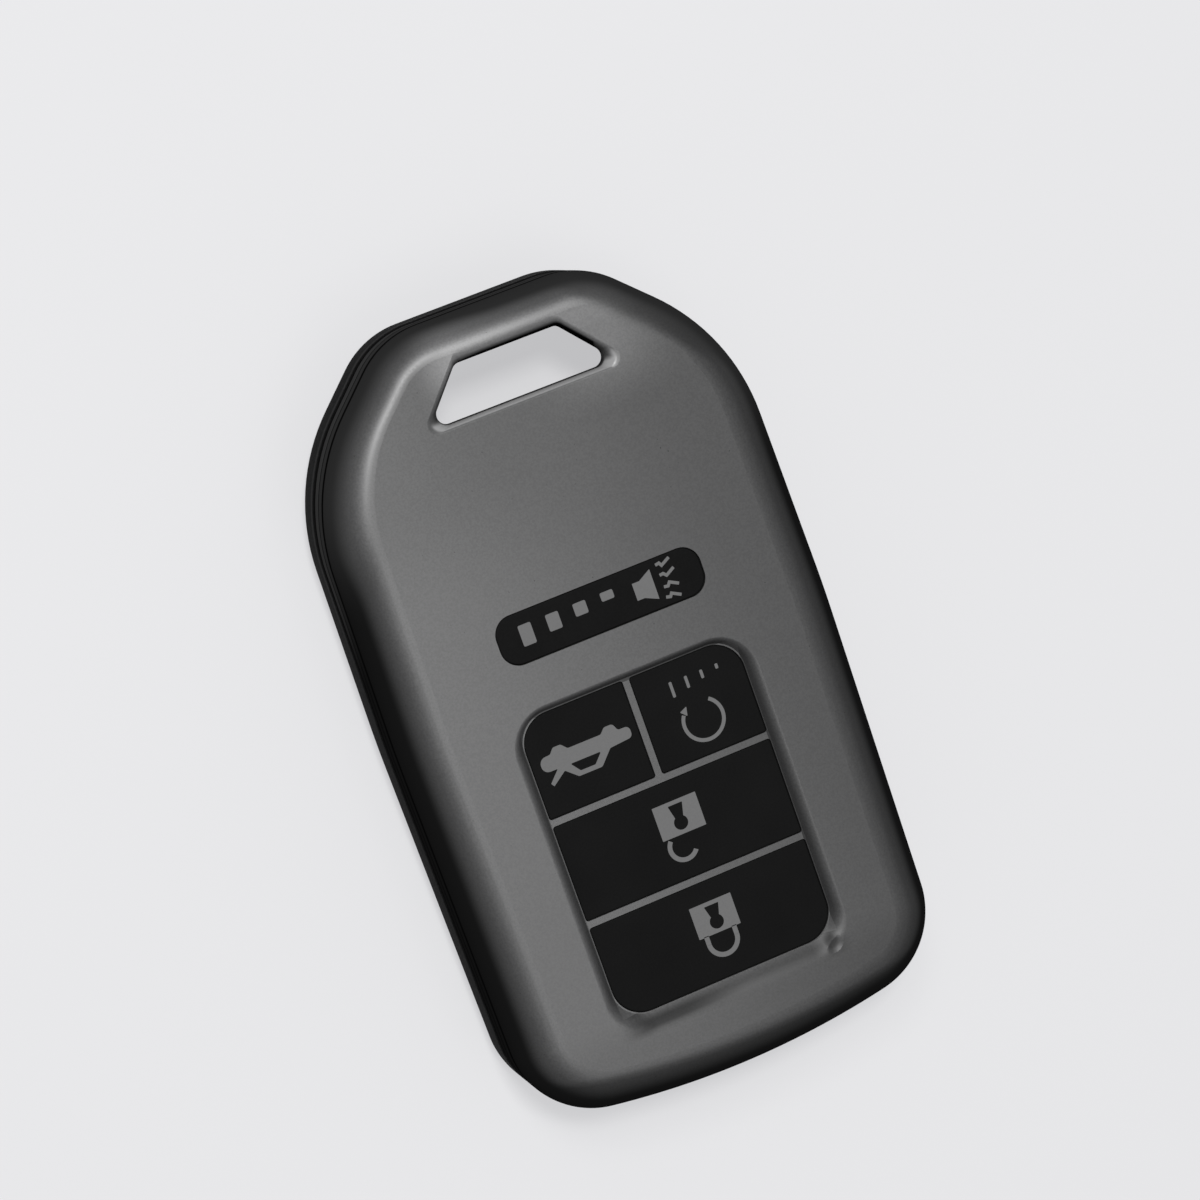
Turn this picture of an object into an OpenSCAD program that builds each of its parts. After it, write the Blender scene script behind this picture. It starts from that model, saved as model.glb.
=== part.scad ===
// Two-piece cover for a smart key fob: a front shell with a sunk key panel and a flush key strip,
// a rear shell, the soft frame between them, the keypad mat and five keys.
// The cover lies on its back. X is its width, +Y points to the keyring slot and +Z out of the face.

/* [Body] */
// Length from the keyring end to the bottom edge
body_length = 77.6; // [72:0.1:90]
// Width at the widest place
body_width = 44.5; // [42:0.1:52]
// Thickness of the closed cover
body_height = 17; // [16:0.1:20]
// Side wall of both shells
wall = 1.5; // [1.2:0.05:1.8]
// Thickness of the front shell behind its face
face_thickness = 1.6; // [1.5:0.05:2]
// Thickness of the rear shell behind its back face
back_thickness = 1.2; // [1:0.05:1.6]

/* [Outline] */
// Radius of the two corners at the ends of the flat top edge
top_radius = 8.9; // [6:0.1:12]
// Radius that blends the slanted top corners into the sides
upper_radius = 19.8; // [12:0.1:24]
// Radius of the slight outward bow of the sides
side_bow = 128; // [80:1:200]
// Radius of the two bottom corners
bottom_radius = 8.7; // [6:0.1:12]
// Radius of the bowed bottom edge, as far as the bottom corners leave room for it
bottom_bow = 86; // [60:1:140]
// Slope of the bottom edge at the corners, in degrees
bottom_slope = 9.6; // [6:0.1:12]

/* [Edges] */
// Width of the rounded shoulder round the face
shoulder_width = 4.45; // [3.4:0.05:5.5]
// Width of the shoulder at the keyring end and at the slanted corners beside it
shoulder_top_width = 3.2; // [2:0.05:4]
// Height of the rounded shoulder round the face
shoulder_height = 5; // [3:0.05:6]
// Radius of the edge round the back face
back_radius = 4.2; // [3.4:0.1:5]
// Radius inside the shells, where their walls meet the face and the back
inner_radius = 1.5; // [1:0.1:2]

/* [Seam] */
// Height of the rear shell's rim
seam_height = 7.9; // [6.5:0.1:9]
// Height of the soft band that shows between the shells
band_height = 1.8; // [1.2:0.1:2.4]
// Chamfer on each side of the two seam lines
seam_chamfer = 0.35; // [0.2:0.05:0.5]
// How far the band's outer face lies behind the shells' faces
band_set_back = 0.1; // [0.05:0.05:0.3]
// Thickness of the frame's upright wall
frame_wall = 0.9; // [0.7:0.05:1.2]
// How far the frame's wall reaches down into the rear shell and up into the front shell
frame_reach = 2.6; // [1.5:0.1:3]

/* [Keyring slot] */
// Width of the slot's straight lower edge, between its unrounded corners
slot_width = 19.2; // [15:0.1:20]
// Width of the slot's upper edge, between its unrounded corners
slot_top_width = 10.4; // [8:0.1:12]
// Height of the slot
slot_height = 5; // [4.5:0.1:6]
// Distance from the keyring end to the slot's lower edge
slot_from_end = 9.3; // [9:0.1:11]
// Corner radius of the slot
slot_radius = 1; // [0.6:0.1:1.2]
// Width of the rounded lip above the slot
lip_top = 1.2; // [0.6:0.1:1.4]
// Width of the rounded lip at the slot's slanted sides
lip_side = 0.9; // [0.4:0.1:1.2]
// Width of the rounded lip below the slot
lip_bottom = 0.5; // [0.3:0.1:1]
// How much further the rear shell's slot reaches to each side
rear_slot_side = 4.1; // [1:0.1:5]
// How much further the rear shell's slot reaches down
rear_slot_down = 2.1; // [1:0.1:3]
// How much lower the upper edge of the rear shell's slot lies
rear_slot_lowered = 0.6; // [0.4:0.1:1]

/* [Keys] */
// Width of the key panel
panel_width = 22.7; // [20:0.1:24]
// Distance from the bottom edge to the key panel
panel_from_end = 9.35; // [8:0.05:12]
// Height of the row with two keys
split_row = 9.85; // [9:0.05:11]
// Height of the middle row
middle_row = 9.7; // [9:0.05:11]
// Height of the lower row
lower_row = 9.7; // [9:0.05:11]
// Corner radius of the key panel
panel_radius = 3.1; // [2:0.1:4]
// Width of the bars between the keys
bar_width = 0.66; // [0.6:0.01:1]
// Width of the flush key
strip_width = 21; // [18:0.1:24]
// Height of the flush key
strip_height = 4.9; // [4:0.1:6]
// Corner radius of the flush key
strip_radius = 1.9; // [1:0.1:2]
// Distance from the key panel to the flush key
strip_gap = 5; // [4.6:0.1:6]
// How deep the key panel lies below the face
recess_depth = 0.8; // [0.4:0.05:0.8]
// Width of the sunk panel's side slopes
recess_side = 1.1; // [0.6:0.05:1.4]
// Width of the sunk panel's upper slope
recess_top = 0.7; // [0.4:0.05:1.2]
// Width of the sunk panel's wide lower slope
recess_bottom = 1.95; // [1:0.05:3]
// How far a key can be pressed
key_travel = 0.6; // [0.3:0.05:0.7]

/* [Fits] */
// Gap between a key and its window
key_gap = 0.1; // [0.05:0.01:0.12]
// Gap between a key's flange and the front shell, and between the shells and the soft frame
fit_gap = 0.1; // [0.05:0.01:0.15]
// Gap between the closed front shell and the soft band it sits on
seat_gap = 0.05; // [0.03:0.01:0.1]

/* [Hidden] */

// Cutters run past what they cut by this much
overrun = 1;
// Keeps a corner's number of points the same in every ring of a solid
count_leeway = 0.001;
// Largest turn between two points of a rounded corner, in degrees
arc_step = 6;
// How far inside the body's outline its flat caps draw their corners together
cap_reach = 6;
// Rings on a rounded edge, a lip and an inner radius
shoulder_steps = 8;
back_steps = 6;
lip_steps = 4;
inner_steps = 3;

// Places of the outline's corners, as shares of half the width and half the length
top_corner_share = 0.456;
upper_corner_share = [0.977, 0.715];
side_corner_share = 0.045;
bottom_corner_share = 0.973;

half_width = body_width / 2;
half_length = body_length / 2;
front_rim = seam_height + band_height + seat_gap;
ceiling = body_height - face_thickness;

// Keys: the flange holds a key under its window, and the nib presses the fob's own button
panel_floor = body_height - recess_depth;
flange_thickness = 0.4;
flange_reach = 0.8;
bar_flange_reach = 0.2;
window_radius = 0.3;
key_edge = 0.15;
strip_set_back = 0.1;
flange_top = ceiling - fit_gap;
flange_bottom = flange_top - flange_thickness;
nib_radius = 1.9;
nib_below_mat = 0.2;

// Keypad mat: a web with a hole for each nib, and a rim round the flanges
mat_web = 0.5;
mat_rim = 1.2;
mat_side_gap = 0.3;
mat_radius = 3;
web_top = flange_bottom - key_travel - fit_gap;
web_bottom = web_top - mat_web;
nib_bottom = web_bottom - nib_below_mat;

// Rows of the key panel, from the bottom edge upwards
panel_bottom = panel_from_end - half_length;
middle_bottom = panel_bottom + lower_row + bar_width;
split_bottom = middle_bottom + middle_row + bar_width;
panel_top = split_bottom + split_row;
strip_bottom = panel_top + strip_gap;
strip_top = strip_bottom + strip_height;
slot_bottom = half_length - slot_from_end;

function unit(v) = v / norm(v);

// Points of a closed outline with rounded corners, listed anticlockwise. Each corner is
// [x, y, radius], and inset moves every side inwards by that much.
function rounded(corners, inset = 0, step = arc_step) = [
    for (i = [0 : len(corners) - 1])
        let (
            count = len(corners),
            corner = corners[i],
            before = corners[(i + count - 1) % count],
            after = corners[(i + 1) % count],
            at = [corner[0], corner[1]],
            to_before = unit([before[0], before[1]] - at),
            to_after = unit([after[0], after[1]] - at),
            half_angle = acos(to_before * to_after) / 2,
            centre = at + unit(to_before + to_after) * corner[2] / sin(half_angle),
            start = at + to_before * corner[2] / tan(half_angle) - centre,
            start_angle = atan2(start[1], start[0]),
            turn = 180 - 2 * half_angle,
            steps = max(2, ceil(turn / step - count_leeway))
        )
        for (k = [0 : steps])
            let (angle = start_angle + turn * k / steps)
            centre + (corner[2] - inset) * [cos(angle), sin(angle)]
];

function at_height(points, z) = [for (p = points) [p[0], p[1], z]];

// Points of a quarter round, as shares of its width and height from [0, 0] to [1, 1]
function quarter_share(steps) = [for (k = [0 : steps]) [1 - cos(90 * k / steps), sin(90 * k / steps)]];

// A rectangle's corners, given its sides and the radii of the lower left, lower right,
// upper right and upper left corners
function box_corners(left, right, bottom, top, radii) = [
    [left, bottom, radii[0]],
    [right, bottom, radii[1]],
    [right, top, radii[2]],
    [left, top, radii[3]]
];

// Corners of the outline's left half. The side leans outwards a little on its way down.
top_corner_x = top_corner_share * half_width;
upper_corner_x = upper_corner_share[0] * half_width;
upper_corner_y = upper_corner_share[1] * half_length;
side_corner_y = side_corner_share * half_length;
slant = atan2(half_length - upper_corner_y, upper_corner_x - top_corner_x);
lean = atan2(half_width - upper_corner_x, upper_corner_y - side_corner_y);
bottom_corner_x = bottom_corner_share * half_width;
bow_room = bottom_corner_x / cos(bottom_slope) - bottom_radius * tan((90 - bottom_slope) / 2);
bow_radius = min(bottom_bow, bow_room / tan(bottom_slope));
bottom_tip = half_length + bow_radius * (1 / cos(bottom_slope) - 1);
bottom_corner_y = bottom_corner_x * tan(bottom_slope) - bottom_tip;

// The body's outline, from the keyring end's left corner round to its right corner. The keyring
// end and the slanted corners beside it are let out by out.
function body_corners(out = 0) =
    let (
        rise = out / cos(slant + lean),
        left = [
            [-top_corner_x - out * tan(slant / 2), half_length + out, top_radius + out],
            [-upper_corner_x + rise * sin(lean), upper_corner_y + rise * cos(lean), upper_radius],
            [-half_width, side_corner_y, side_bow],
            [-bottom_corner_x, bottom_corner_y, bottom_radius]
        ]
    )
    concat(
        left,
        [[0, -bottom_tip, bow_radius]],
        [for (i = [3 : -1 : 0]) [-left[i][0], left[i][1], left[i][2]]]
    );

// The slot's outline, let out by side, top and bottom
function slot_corners(side = 0, top = 0, bottom = 0, radius = slot_radius) =
    let (
        lower_y = slot_bottom - bottom,
        upper_y = slot_bottom + slot_height + top,
        run = (slot_width - slot_top_width) / 2 / slot_height,
        lower_x = slot_width / 2 + side + bottom * run,
        upper_x = lower_x - (upper_y - lower_y) * run
    )
    [
        [-lower_x, lower_y, radius],
        [lower_x, lower_y, radius],
        [upper_x, upper_y, radius],
        [-upper_x, upper_y, radius]
    ];

// Each key's window: left, right, bottom, top, corner radii, and how far the key's flange
// reaches past the left, right, bottom and top sides
half_panel = panel_width / 2;
half_strip = strip_width / 2;
half_bar = bar_width / 2;
panic_window = [
    -half_strip, half_strip, strip_bottom, strip_top,
    [strip_radius, strip_radius, strip_radius, strip_radius],
    [flange_reach, flange_reach, flange_reach, flange_reach]
];
trunk_window = [
    -half_panel, -half_bar, split_bottom, panel_top,
    [window_radius, window_radius, window_radius, panel_radius],
    [flange_reach, bar_flange_reach, bar_flange_reach, flange_reach]
];
start_window = [
    half_bar, half_panel, split_bottom, panel_top,
    [window_radius, window_radius, panel_radius, window_radius],
    [bar_flange_reach, flange_reach, bar_flange_reach, flange_reach]
];
unlock_window = [
    -half_panel, half_panel, middle_bottom, middle_bottom + middle_row,
    [window_radius, window_radius, window_radius, window_radius],
    [flange_reach, flange_reach, bar_flange_reach, bar_flange_reach]
];
lock_window = [
    -half_panel, half_panel, panel_bottom, panel_bottom + lower_row,
    [panel_radius, panel_radius, window_radius, window_radius],
    [flange_reach, flange_reach, flange_reach, bar_flange_reach]
];
windows = [panic_window, trunk_window, start_window, unlock_window, lock_window];

function window_corners(w) = box_corners(w[0], w[1], w[2], w[3], w[4]);
function flange_corners(w) = box_corners(
    w[0] - w[5][0], w[1] + w[5][1], w[2] - w[5][2], w[3] + w[5][3], w[4]
);
function key_centre(w) = [(w[0] + w[1]) / 2, (w[2] + w[3]) / 2];

// A closed solid through rings of points. It has a cap on its first and last ring, or else is a
// hoop whose last ring meets its first. The rings climb the outside of the solid.
module loft(rings, hoop = false) {
    count = len(rings[0]);
    last = len(rings) - 1;
    points = [for (ring = rings) for (p = ring) p];
    sides = [
        for (i = [0 : hoop ? last : last - 1])
            for (j = [0 : count - 1])
                let (k = (j + 1) % count, above = (i + 1) % (last + 1))
                [i * count + j, above * count + j, above * count + k, i * count + k]
    ];
    first_cap = [for (j = [0 : count - 1]) j];
    last_cap = [for (j = [0 : count - 1]) last * count + count - 1 - j];
    polyhedron(points, hoop ? sides : concat([first_cap], sides, [last_cap]));
}

// A ring inside a flat cap that draws every corner together into one point, so that the cap has
// only a few large faces
function cap_ring(corners, reach, z) = at_height(
    rounded([for (c = corners) [c[0], c[1], reach]], reach),
    z
);

// A solid with the body's outline, through rows of [inset, height, how far the top is let out]
module body_loft(profile, hoop = false) {
    function row_corners(row) = body_corners(len(row) > 2 ? row[2] : 0);
    rings = [for (row = profile) at_height(rounded(row_corners(row), row[0]), row[1])];
    first = profile[0];
    last = profile[len(profile) - 1];
    loft(
        hoop ? rings : concat(
            [cap_ring(row_corners(first), cap_reach, first[1])],
            rings,
            [cap_ring(row_corners(last), cap_reach, last[1])]
        ),
        hoop
    );
}

module prism(corners, bottom, top, inset = 0) {
    translate([0, 0, bottom])
        linear_extrude(top - bottom)
            polygon(rounded(corners, inset));
}

// The slot in the front shell, with its rounded lip
module front_slot() {
    prism(slot_corners(), ceiling - overrun, body_height);
    lip_rows = [
        for (s = quarter_share(lip_steps))
            at_height(
                rounded(slot_corners(lip_side * s[0], lip_top * s[0], lip_bottom * s[0])),
                body_height - lip_top * (1 - s[1])
            )
    ];
    top_row = at_height(
        rounded(slot_corners(lip_side, lip_top, lip_bottom)),
        body_height + overrun
    );
    loft(concat(lip_rows, [top_row]));
}

// The sunk panel's outline, where out goes from 0 at its floor to 1 at the face
function recess_corners(out) = box_corners(
    -half_panel - key_gap - recess_side * out,
    half_panel + key_gap + recess_side * out,
    panel_bottom - key_gap - recess_bottom * out,
    panel_top + key_gap + recess_top * out,
    [for (i = [0 : 3]) panel_radius + recess_side * out]
);

// The sunk panel, whose slopes turn over into the face
module panel_recess() {
    slope = [
        for (k = [0 : lip_steps])
            at_height(
                rounded(recess_corners(k / lip_steps)),
                panel_floor + recess_depth * sin(90 * k / lip_steps)
            )
    ];
    loft(concat(
        [cap_ring(recess_corners(0), panel_radius, panel_floor)],
        slope,
        [at_height(rounded(recess_corners(1)), body_height + overrun)]
    ));
}

// The wall runs from the ceiling down the inside, over the rim and up to the face
module front_shell() {
    color([0.43, 0.43, 0.44])
    difference() {
        body_loft(concat(
            [
                for (k = [0 : inner_steps])
                    let (s = quarter_share(inner_steps)[inner_steps - k])
                    [wall + inner_radius * s[0], ceiling - inner_radius * (1 - s[1])]
            ],
            [[wall, front_rim], [seam_chamfer, front_rim], [0, front_rim + seam_chamfer]],
            [
                for (s = quarter_share(shoulder_steps))
                    [
                        shoulder_width * s[0],
                        body_height - shoulder_height * (1 - s[1]),
                        (shoulder_width - shoulder_top_width) * s[0]
                    ]
            ]
        ));
        front_slot();
        panel_recess();
        for (w = windows)
            prism(window_corners(w), ceiling - overrun, body_height + overrun);
    }
}

// The wall runs from the back face up the outside, over the rim and down to the floor
module rear_shell() {
    color([0.1, 0.1, 0.105])
    difference() {
        body_loft(concat(
            [
                for (k = [0 : back_steps])
                    let (s = quarter_share(back_steps)[back_steps - k])
                    [back_radius * s[0], back_radius * (1 - s[1])]
            ],
            [[0, seam_height - seam_chamfer], [seam_chamfer, seam_height], [wall, seam_height]],
            [
                for (s = quarter_share(inner_steps))
                    [wall + inner_radius * s[0], back_thickness + inner_radius * (1 - s[1])]
            ]
        ));
        prism(
            slot_corners(rear_slot_side, -rear_slot_lowered, rear_slot_down),
            -overrun, back_thickness + overrun
        );
    }
}

// The soft frame: an upright wall inside both shells, with the band that shows between them
module inner_frame() {
    band_top = seam_height + band_height;
    frame_bottom = seam_height - frame_reach;
    frame_top = band_top + frame_reach;
    wall_outside = wall + fit_gap;
    wall_inside = wall_outside + frame_wall;
    color([0.13, 0.13, 0.135])
    body_loft([
        [wall_inside, frame_bottom],
        [wall_outside + seam_chamfer, frame_bottom],
        [wall_outside, frame_bottom + seam_chamfer],
        [wall_outside, seam_height],
        [band_set_back + seam_chamfer, seam_height],
        [band_set_back, seam_height + seam_chamfer],
        [band_set_back, band_top - seam_chamfer],
        [band_set_back + seam_chamfer, band_top],
        [wall_outside, band_top],
        [wall_outside, frame_top - seam_chamfer],
        [wall_outside + seam_chamfer, frame_top],
        [wall_inside, frame_top]
    ], true);
}

module keypad_mat() {
    panel_pocket = box_corners(
        -half_panel - flange_reach, half_panel + flange_reach,
        panel_bottom - flange_reach, panel_top + flange_reach,
        [for (i = [0 : 3]) panel_radius]
    );
    mat_corners = box_corners(
        -half_panel - flange_reach, half_panel + flange_reach,
        panel_bottom - flange_reach, strip_top + flange_reach,
        [for (i = [0 : 3]) mat_radius]
    );
    color([0.07, 0.07, 0.07])
    difference() {
        prism(mat_corners, web_bottom, ceiling, -mat_rim - mat_side_gap);
        prism(panel_pocket, web_top, ceiling + overrun, -mat_side_gap);
        prism(flange_corners(panic_window), web_top, ceiling + overrun, -mat_side_gap);
        for (w = windows)
            translate(key_centre(w))
                translate([0, 0, web_bottom - overrun])
                    cylinder(h = mat_web + 2 * overrun, r = nib_radius + key_gap, $fn = 48);
    }
}

// A key: the cap in its window, the flange under the shell and the nib through the mat
module key(w, top) {
    cap = window_corners(w);
    color([0.085, 0.085, 0.085])
    union() {
        loft([
            at_height(rounded(cap, key_gap), flange_bottom),
            at_height(rounded(cap, key_gap), top - key_edge),
            at_height(rounded(cap, key_gap + key_edge), top)
        ]);
        prism(flange_corners(w), flange_bottom, flange_top);
        translate(key_centre(w))
            translate([0, 0, nib_bottom])
                cylinder(h = flange_top - nib_bottom, r = nib_radius, $fn = 48);
    }
}

module panic_key() { key(panic_window, body_height - strip_set_back); }

module trunk_key() { key(trunk_window, panel_floor); }

module start_key() { key(start_window, panel_floor); }

module unlock_key() { key(unlock_window, panel_floor); }

module lock_key() { key(lock_window, panel_floor); }

front_shell();
rear_shell();
inner_frame();
keypad_mat();
panic_key();
trunk_key();
start_key();
unlock_key();
lock_key();
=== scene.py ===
# Satin grey key fob cover: two moulded shells with a soft frame between them, a sunk panel of
# four push keys, a flush key strip and a keyring slot.
import math
import bpy
from mathutils import Matrix, Vector


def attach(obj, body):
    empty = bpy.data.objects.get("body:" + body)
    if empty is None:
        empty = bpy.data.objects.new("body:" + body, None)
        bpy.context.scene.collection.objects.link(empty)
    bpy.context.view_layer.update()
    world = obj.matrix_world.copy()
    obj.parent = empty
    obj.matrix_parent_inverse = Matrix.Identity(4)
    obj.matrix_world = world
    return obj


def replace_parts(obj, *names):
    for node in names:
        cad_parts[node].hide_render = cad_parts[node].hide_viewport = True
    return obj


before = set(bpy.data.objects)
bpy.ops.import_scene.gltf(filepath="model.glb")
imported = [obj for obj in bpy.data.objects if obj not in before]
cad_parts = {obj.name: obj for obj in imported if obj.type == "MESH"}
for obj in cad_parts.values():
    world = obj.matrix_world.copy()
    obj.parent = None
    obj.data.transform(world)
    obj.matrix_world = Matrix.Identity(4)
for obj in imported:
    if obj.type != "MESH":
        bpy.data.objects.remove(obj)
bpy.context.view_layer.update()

MM = 0.001
ops = bpy.ops
scene = bpy.context.scene
scene.view_settings.view_transform = "Standard"

# Sizes of the cover, in millimetres
BODY_HEIGHT = 17.0
HALF_WIDTH = 22.25
HALF_LENGTH = 38.8
WALL = 1.5
CEILING = 15.4
FLOOR = 1.2
INNER_RADIUS = 1.5
SEAM = 7.9
BAND_TOP = 9.7
FRONT_RIM = 9.75
CHAMFER = 0.35
SHOULDER_WIDTH = 4.45
SHOULDER_TOP = 3.2
SHOULDER_HEIGHT = 5.0
BACK_RADIUS = 4.2
TOP_RADIUS = 8.9
UPPER_RADIUS = 19.8
SIDE_RADIUS = 128.0
BOTTOM_RADIUS = 8.7
PANEL_FLOOR = 16.2
RECESS_DEPTH = 0.8
KEY_GAP = 0.1
FLANGE_BOTTOM = 14.9
FLANGE_TOP = 15.3
STRIP_FACE = 16.9
NIB_BOTTOM = 13.5
NIB_RADIUS = 1.9
WEB_BOTTOM, WEB_TOP = 13.7, 14.2
BAND_SET_BACK = 0.1
FRAME_DEPTH = 2.6
FRAME_GAP = 0.1
FRAME_WALL = 0.9

# Cutters run past what they cut by the overrun, and the shells stop short of the solids' outline
# by the margin
OVERRUN = 1
MARGIN = 0.005
# A seam's chamfer is softened by a row between its ends, this far in and this far up
SOFT_IN, SOFT_UP = 0.13, 0.1
BAND_SOFT_IN = 0.1

# Turn between the points of an arc, in degrees, and a quarter of it past the long radius
SHELL_STEP = 3.0
SLOT_STEP = 8.0
KEY_STEP = 6.0
RING_STEP = 6.0
MARK_STEP = 15.0
BAR_STEP = 30.0
LONG_RADIUS = 60.0
# Keeps a corner's number of points the same in every ring
COUNT_LEEWAY = 0.001

# Rows of points in each rounding
SHOULDER_ROWS = 18
BACK_ROWS = 12
INNER_ROWS = 4
LIP_ROWS = 8
SLOPE_ROWS = 16
EDGE_ROWS = 5

# Sides of the round posts
NIB_SIDES = 48
KEYHOLE_SIDES = 56

BOTTOM_BOW = 86.0
BOTTOM_SLOPE = math.radians(9.6)
BOTTOM_TIP = HALF_LENGTH + BOTTOM_BOW * (1 / math.cos(BOTTOM_SLOPE) - 1)
BOTTOM_X = 0.973 * HALF_WIDTH
BOTTOM_Y = BOTTOM_X * math.tan(BOTTOM_SLOPE) - BOTTOM_TIP
TOP_X = 0.456 * HALF_WIDTH
UPPER_X, UPPER_Y = 0.977 * HALF_WIDTH, 0.715 * HALF_LENGTH
SIDE_Y = 0.045 * HALF_LENGTH
SLANT = math.atan2(HALF_LENGTH - UPPER_Y, UPPER_X - TOP_X)
LEAN = math.atan2(HALF_WIDTH - UPPER_X, UPPER_Y - SIDE_Y)


def body_outline(out=0.0):
    """Corners of the body, with the keyring end and its slanted corners let out by out."""
    rise = out / math.cos(SLANT + LEAN)
    left = [
        (-TOP_X - out * math.tan(SLANT / 2), HALF_LENGTH + out, TOP_RADIUS + out),
        (-UPPER_X + rise * math.sin(LEAN), UPPER_Y + rise * math.cos(LEAN), UPPER_RADIUS),
        (-HALF_WIDTH, SIDE_Y, SIDE_RADIUS),
        (-BOTTOM_X, BOTTOM_Y, BOTTOM_RADIUS),
    ]
    right = [(-x, y, radius) for x, y, radius in reversed(left)]
    return left + [(0.0, -BOTTOM_TIP, BOTTOM_BOW)] + right


BODY = body_outline()

PANEL_X, PANEL_BOTTOM, PANEL_TOP = 11.35, -29.45, 1.12
LOCK_TOP, MIDDLE_BOTTOM = -19.75, -19.09
MIDDLE_TOP, SPLIT_BOTTOM = -9.39, -8.73
HALF_BAR = 0.33
STRIP_X, STRIP_BOTTOM, STRIP_TOP = 10.5, 6.12, 11.02
PANEL_RADIUS = 3.1
STRIP_RADIUS = 1.9
BAR_RADIUS = 0.3
RECESS_SIDE, RECESS_BOTTOM, RECESS_TOP = 1.1, 1.95, 0.7

SLOT_WIDE, SLOT_NARROW = 19.2, 10.4
SLOT_LOW, SLOT_HIGH = 29.5, 34.5
SLOT_RUN = (SLOT_WIDE - SLOT_NARROW) / 2 / (SLOT_HIGH - SLOT_LOW)
SLOT_RADIUS = 1.0
LIP_SIDE, LIP_TOP, LIP_BOTTOM, LIP_DEPTH = 0.9, 1.2, 0.5, 1.2
REAR_SLOT_SIDE, REAR_SLOT_TOP, REAR_SLOT_BOTTOM = 4.1, -0.6, 2.1

# The soft dimple by the lock key's corner is the foot of this sphere
DIMPLE_X, DIMPLE_Y, DIMPLE_Z, DIMPLE_RADIUS = 10.3, -30.0, 19.77, 3.0


def box(left, right, bottom, top, *radii):
    """Corners of a rectangle from its lower left one round, with one radius for all or four."""
    radii = radii * (4 // len(radii))
    return [
        (left, bottom, radii[0]),
        (right, bottom, radii[1]),
        (right, top, radii[2]),
        (left, top, radii[3]),
    ]


def slot_outline(side=0.0, top=0.0, bottom=0.0):
    """Corners of the keyring slot, let out by side, top and bottom."""
    low, high = SLOT_LOW - bottom, SLOT_HIGH + top
    low_x = SLOT_WIDE / 2 + side + bottom * SLOT_RUN
    high_x = low_x - (high - low) * SLOT_RUN
    return [
        (-low_x, low, SLOT_RADIUS),
        (low_x, low, SLOT_RADIUS),
        (high_x, high, SLOT_RADIUS),
        (-high_x, high, SLOT_RADIUS),
    ]


def recess_outline(out):
    """Corners of the sunk panel, where out is 0 at its floor and 1 at the face."""
    return box(
        -PANEL_X - KEY_GAP - RECESS_SIDE * out,
        PANEL_X + KEY_GAP + RECESS_SIDE * out,
        PANEL_BOTTOM - KEY_GAP - RECESS_BOTTOM * out,
        PANEL_TOP + KEY_GAP + RECESS_TOP * out,
        PANEL_RADIUS + RECESS_SIDE * out,
    )


ROUND, SQUARE = PANEL_RADIUS, BAR_RADIUS
WINDOWS = {
    "panic": box(-STRIP_X, STRIP_X, STRIP_BOTTOM, STRIP_TOP, STRIP_RADIUS),
    "trunk": box(-PANEL_X, -HALF_BAR, SPLIT_BOTTOM, PANEL_TOP, SQUARE, SQUARE, SQUARE, ROUND),
    "start": box(HALF_BAR, PANEL_X, SPLIT_BOTTOM, PANEL_TOP, SQUARE, SQUARE, ROUND, SQUARE),
    "unlock": box(-PANEL_X, PANEL_X, MIDDLE_BOTTOM, MIDDLE_TOP, SQUARE),
    "lock": box(-PANEL_X, PANEL_X, PANEL_BOTTOM, LOCK_TOP, ROUND, ROUND, SQUARE, SQUARE),
}
# How far each key's flange reaches past its left, right, lower and upper side
WIDE, SLIM = 0.8, 0.2
FLANGES = {
    "panic": (WIDE, WIDE, WIDE, WIDE),
    "trunk": (WIDE, SLIM, SLIM, WIDE),
    "start": (SLIM, WIDE, SLIM, WIDE),
    "unlock": (WIDE, WIDE, SLIM, SLIM),
    "lock": (WIDE, WIDE, WIDE, SLIM),
}
# The keys here fill their windows a little more than the solid keys do
KEY_CLEARANCE = 0.05
WELD = 0.05
KEY_EDGE = 0.16
HOLE_GAP = 0.1
MAT_RIM = 1.5
MAT_GAP = 0.3
MAT_RADIUS = 3.0
MAT_DROP = 0.01

# A ring's ends meet within the first distance, in metres, and a piece's corners are merged within
# the second. A face that points this far up is left flat.
SAME_POINT = 1e-7
MERGE = 0.002
FLAT = 0.99999
SMOOTH_ANGLE = math.radians(32.0)


# Modelling
def mode(name):
    if bpy.context.object and bpy.context.object.mode != name:
        ops.object.mode_set(mode=name)


def only(piece):
    """Select one piece alone and make it active."""
    mode("OBJECT")
    ops.object.select_all(action="DESELECT")
    piece.select_set(True)
    bpy.context.view_layer.objects.active = piece


def arc(before, corner, after, inset):
    """Start, centre and turn of a corner's rounding, in metres and radians."""
    at = Vector(corner[:2])
    to_before = (Vector(before[:2]) - at).normalized()
    to_after = (Vector(after[:2]) - at).normalized()
    half = math.acos(max(-1.0, min(1.0, to_before.dot(to_after)))) / 2
    left_turn = 1.0 if to_after.x * to_before.y - to_after.y * to_before.x > 0 else -1.0
    centre = at + (to_before + to_after).normalized() * corner[2] / math.sin(half)
    start = at + to_before * corner[2] / math.tan(half)
    start = centre + (start - centre) * (corner[2] - inset * left_turn) / corner[2]
    return start * MM, centre * MM, left_turn * (math.pi - 2 * half)


def start_line(name, place):
    """A piece of one vertex, which is selected and ready to be drawn out into a line."""
    mode("OBJECT")
    ops.object.select_all(action="DESELECT")
    ops.mesh.primitive_plane_add(size=MM, location=(0, 0, 0))
    piece = bpy.context.object
    piece.name = name
    mode("EDIT")
    ops.mesh.select_mode(type="VERT")
    ops.mesh.select_all(action="SELECT")
    ops.mesh.merge(type="CENTER")
    ops.transform.translate(value=place)
    return piece


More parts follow.
